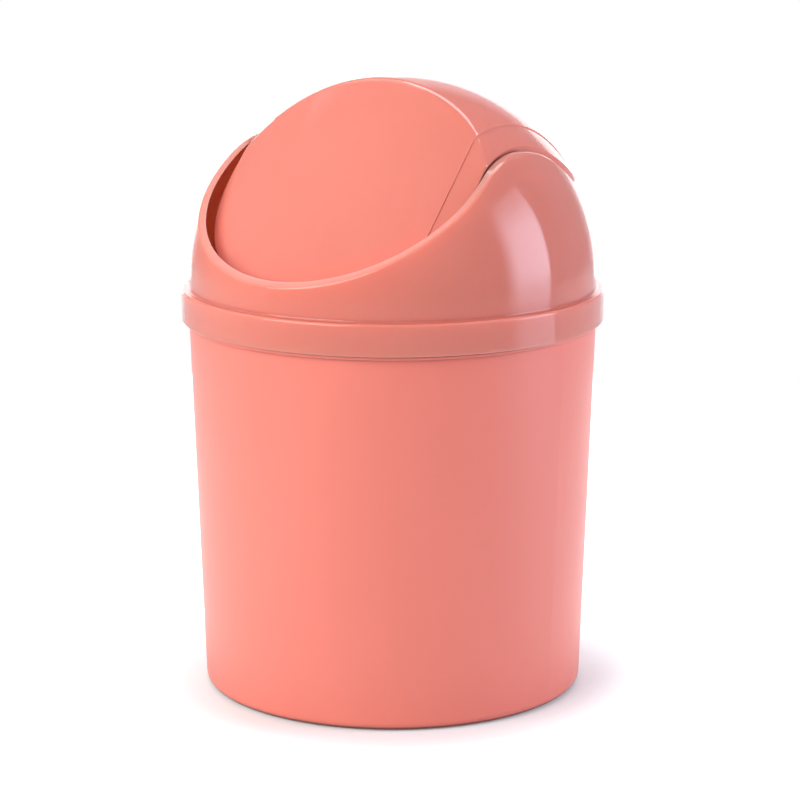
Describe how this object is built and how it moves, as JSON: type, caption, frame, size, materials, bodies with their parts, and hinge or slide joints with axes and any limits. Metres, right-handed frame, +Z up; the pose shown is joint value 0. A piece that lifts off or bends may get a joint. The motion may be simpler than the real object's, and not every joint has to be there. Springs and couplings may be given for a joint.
{
  "type": "desktop trash can with swing lid",
  "caption": "Small round desktop bin: tapered bucket, lift-off dome lid with a collar, and a domed flap with one slanted push face that swings both ways on hinge pins.",
  "frame": {"origin": "centre of the base, on the surface the bin stands on", "axes": "+Z up the bin, X along the flap's hinge, -Y towards the flap's front face"},
  "size_m": [0.14, 0.14, 0.2038],
  "materials": {
    "bucket_plastic": "satin coral pink",
    "lid_plastic": "gloss coral pink",
    "flap_plastic": "gloss coral pink",
    "pin_plastic": "plain coral pink"
  },
  "bodies": {
    "bucket_body": {"bucket": "bucket_plastic"},
    "lid_body": {"lid_dome": "lid_plastic"},
    "flap_body": {"swing_flap": "flap_plastic", "hinge_pin_left": "pin_plastic", "hinge_pin_right": "pin_plastic"}
  },
  "joints": [
    {"name": "lid_lift", "type": "slide", "parent": "bucket_body", "child": "lid_body", "axis": [0, 0, 1], "range_m": [0, 0.1]},
    {"name": "flap_swing", "type": "hinge", "parent": "lid_body", "child": "flap_body", "pos_m": [0, 0, 0.1769], "axis": [1, 0, 0], "range_deg": [-85, 75]}
  ]
}
